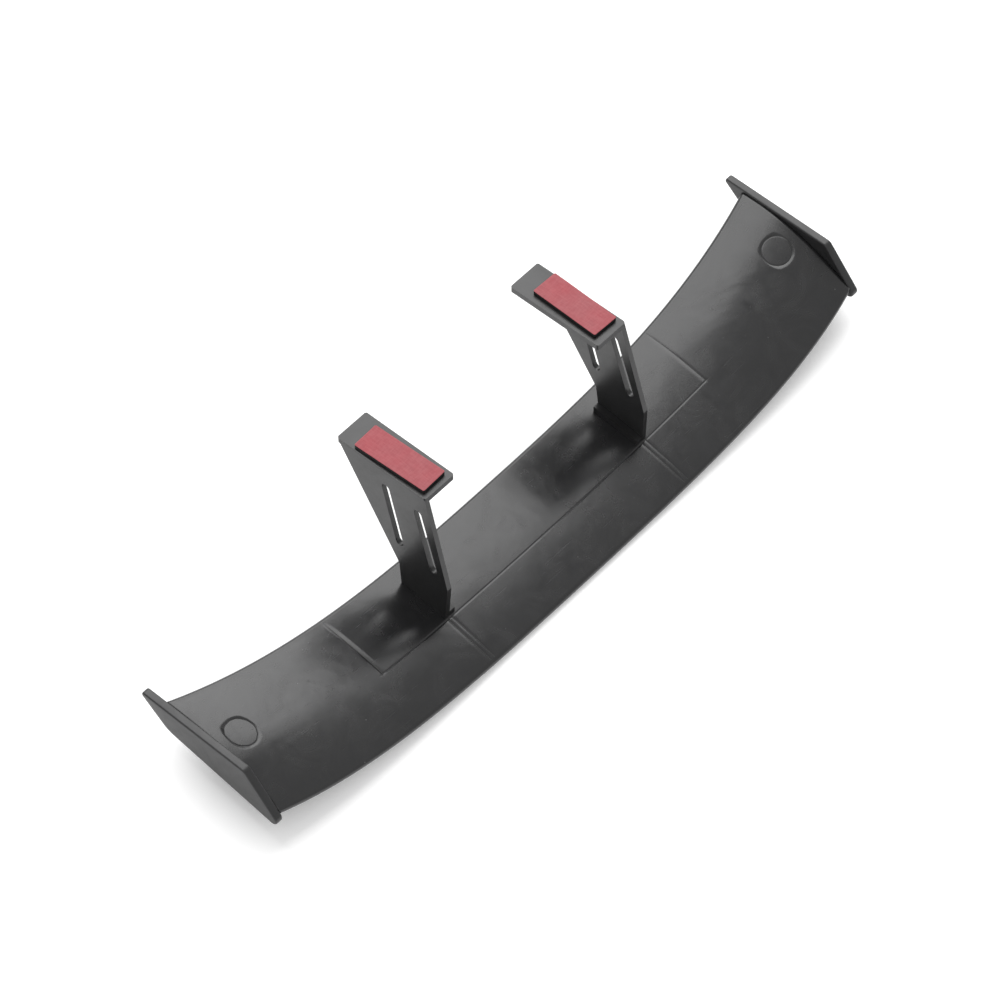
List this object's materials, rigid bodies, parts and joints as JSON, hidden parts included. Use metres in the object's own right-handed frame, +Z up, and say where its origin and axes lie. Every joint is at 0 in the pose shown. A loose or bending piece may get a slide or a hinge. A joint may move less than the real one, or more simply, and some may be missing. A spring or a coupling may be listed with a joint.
{
  "type": "racing rear wing",
  "caption": "Small stick-on rear wing: an arched blade with end plates, on slotted legs whose feet carry adhesive tape under a peel-off film.",
  "frame": {"origin": "middle of the outline, on the surface the wing lies on", "axes": "+X along the span, +Y towards the leading edge, which is the end that the feet reach past, +Z up. The wing is stored lying on its back with its feet in the air, which is upside down from how it is used: on a car the feet point down and the pad normals point into the panel."},
  "size_m": [0.1854, 0.0496, 0.0379],
  "materials": {
    "wing_plastic": "satin charcoal moulded plastic with faint flow marks",
    "end_plate_plastic": "satin charcoal moulded plastic",
    "leg_plastic": "satin charcoal moulded plastic, a little glossier",
    "foam": "black closed-cell foam tape",
    "liner": "red peel-off film"
  },
  "bodies": {
    "wing": {"blade": "wing_plastic", "left_end_plate": "end_plate_plastic", "right_end_plate": "end_plate_plastic", "left_leg": "leg_plastic", "right_leg": "leg_plastic", "left_foam_tape": "foam", "right_foam_tape": "foam"},
    "left_liner": {"left_release_liner": "liner"},
    "right_liner": {"right_release_liner": "liner"}
  },
  "joints": [
    {"name": "left_liner_lift", "type": "slide", "parent": "wing", "child": "left_liner", "axis": [0, 0.1761, 0.9844], "range_m": [0, 0.015]},
    {"name": "right_liner_lift", "type": "slide", "parent": "wing", "child": "right_liner", "axis": [0, 0.1761, 0.9844], "range_m": [0, 0.015]}
  ]
}
